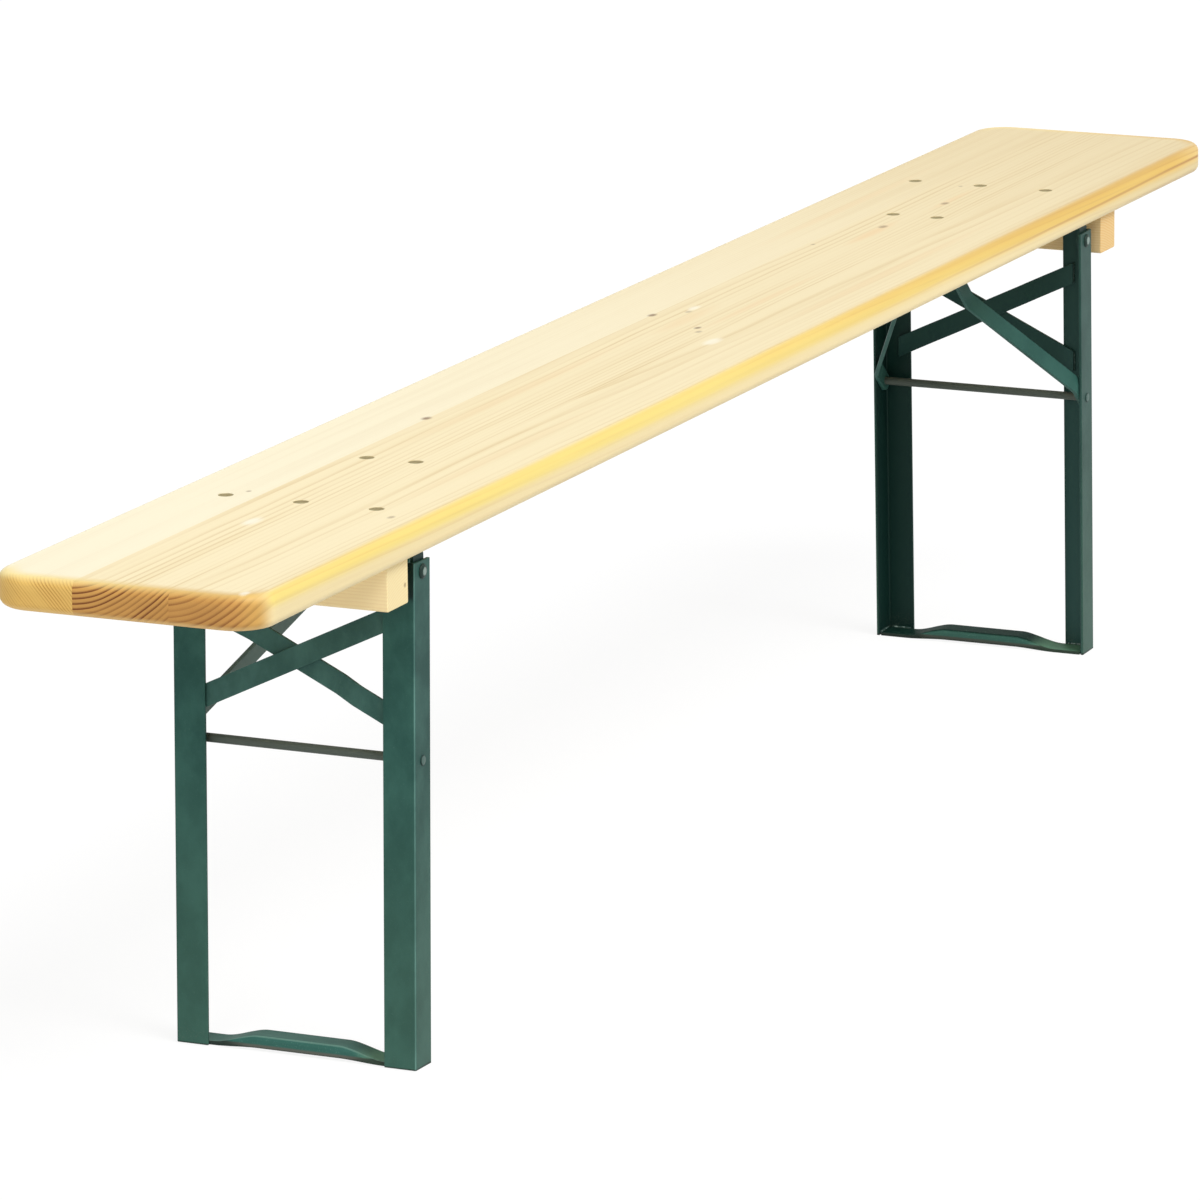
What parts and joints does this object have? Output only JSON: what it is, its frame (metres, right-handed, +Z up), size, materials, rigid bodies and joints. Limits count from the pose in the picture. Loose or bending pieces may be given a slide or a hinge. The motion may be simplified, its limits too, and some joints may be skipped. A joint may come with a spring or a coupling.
{
  "type": "folding bench",
  "caption": "Backless bench: a long rounded wooden board on angle-steel leg frames with V struts, a sprung catch and a fold flat under the board.",
  "frame": {"origin": "on the floor, under the middle of the board", "axes": "+X along the board towards its far end, +Y across the board, +Z up"},
  "size_m": [2.2, 0.25, 0.48],
  "materials": {
    "spruce_board": "clear satin varnish over pale spruce, amber on the long edges",
    "spruce_batten": "clear varnish over planed spruce",
    "green_paint": "satin dark moss green paint",
    "zinc_steel": "dull zinc plating",
    "spring_steel": "blued spring steel"
  },
  "bodies": {
    "seat": {"board_stave_1": "spruce_board", "board_stave_2": "spruce_board", "board_stave_3": "spruce_board", "batten_near": "spruce_batten", "batten_screw_near_1": "zinc_steel", "batten_screw_near_2": "zinc_steel", "hinge_rail_near": "green_paint", "rail_near_1_bolt": "zinc_steel", "rail_near_1_nut": "zinc_steel", "rail_near_2_bolt": "zinc_steel", "rail_near_2_nut": "zinc_steel", "rail_near_3_bolt": "zinc_steel", "rail_near_3_nut": "zinc_steel", "catch_bracket_near": "green_paint", "catch_spring_near": "spring_steel", "spring_rivet_near": "zinc_steel", "catch_near_1_bolt": "zinc_steel", "catch_near_1_nut": "zinc_steel", "catch_near_2_bolt": "zinc_steel", "catch_near_2_nut": "zinc_steel", "batten_far": "spruce_batten", "batten_screw_far_1": "zinc_steel", "batten_screw_far_2": "zinc_steel", "hinge_rail_far": "green_paint", "rail_far_1_bolt": "zinc_steel", "rail_far_1_nut": "zinc_steel", "rail_far_2_bolt": "zinc_steel", "rail_far_2_nut": "zinc_steel", "rail_far_3_bolt": "zinc_steel", "rail_far_3_nut": "zinc_steel", "catch_bracket_far": "green_paint", "catch_spring_far": "spring_steel", "spring_rivet_far": "zinc_steel", "catch_far_1_bolt": "zinc_steel", "catch_far_1_nut": "zinc_steel", "catch_far_2_bolt": "zinc_steel", "catch_far_2_nut": "zinc_steel"},
    "leg_frame_near": {"leg_near_left": "green_paint", "hinge_rivet_near_left": "green_paint", "leg_near_right": "green_paint", "hinge_rivet_near_right": "green_paint", "brace_flat_near": "green_paint", "brace_cranked_near": "green_paint", "foot_rail_near": "green_paint", "cross_rod_near": "green_paint"},
    "leg_frame_far": {"leg_far_left": "green_paint", "hinge_rivet_far_left": "green_paint", "leg_far_right": "green_paint", "hinge_rivet_far_right": "green_paint", "brace_flat_far": "green_paint", "brace_cranked_far": "green_paint", "foot_rail_far": "green_paint", "cross_rod_far": "green_paint"},
    "strut_near": {"strut_arm_near_left": "green_paint", "strut_arm_near_right": "green_paint", "apex_pin_near": "green_paint"},
    "strut_far": {"strut_arm_far_left": "green_paint", "strut_arm_far_right": "green_paint", "apex_pin_far": "green_paint"}
  },
  "joints": [
    {"name": "leg_fold_near", "type": "hinge", "parent": "seat", "child": "leg_frame_near", "pos_m": [-0.7745, 0, 0.431], "axis": [0, -1, 0], "range_deg": [0, 91.59], "deforming": ["catch_spring_near"]},
    {"name": "strut_swing_near", "type": "hinge", "parent": "leg_frame_near", "child": "strut_near", "pos_m": [-0.77902, 0, 0.26806], "axis": [0, 1, 0], "range_deg": [0, 134.26], "deforming": ["catch_spring_near"]},
    {"name": "leg_fold_far", "type": "hinge", "parent": "seat", "child": "leg_frame_far", "pos_m": [0.7745, 0, 0.431], "axis": [0, 1, 0], "range_deg": [0, 91.59], "deforming": ["catch_spring_far"]},
    {"name": "strut_swing_far", "type": "hinge", "parent": "leg_frame_far", "child": "strut_far", "pos_m": [0.77902, 0, 0.26806], "axis": [0, -1, 0], "range_deg": [0, 134.26], "deforming": ["catch_spring_far"]}
  ],
  "couplings": [
    {"joint": "strut_swing_near", "follows": "leg_fold_near", "ratio": 1.4659},
    {"joint": "strut_swing_far", "follows": "leg_fold_far", "ratio": 1.4659}
  ]
}
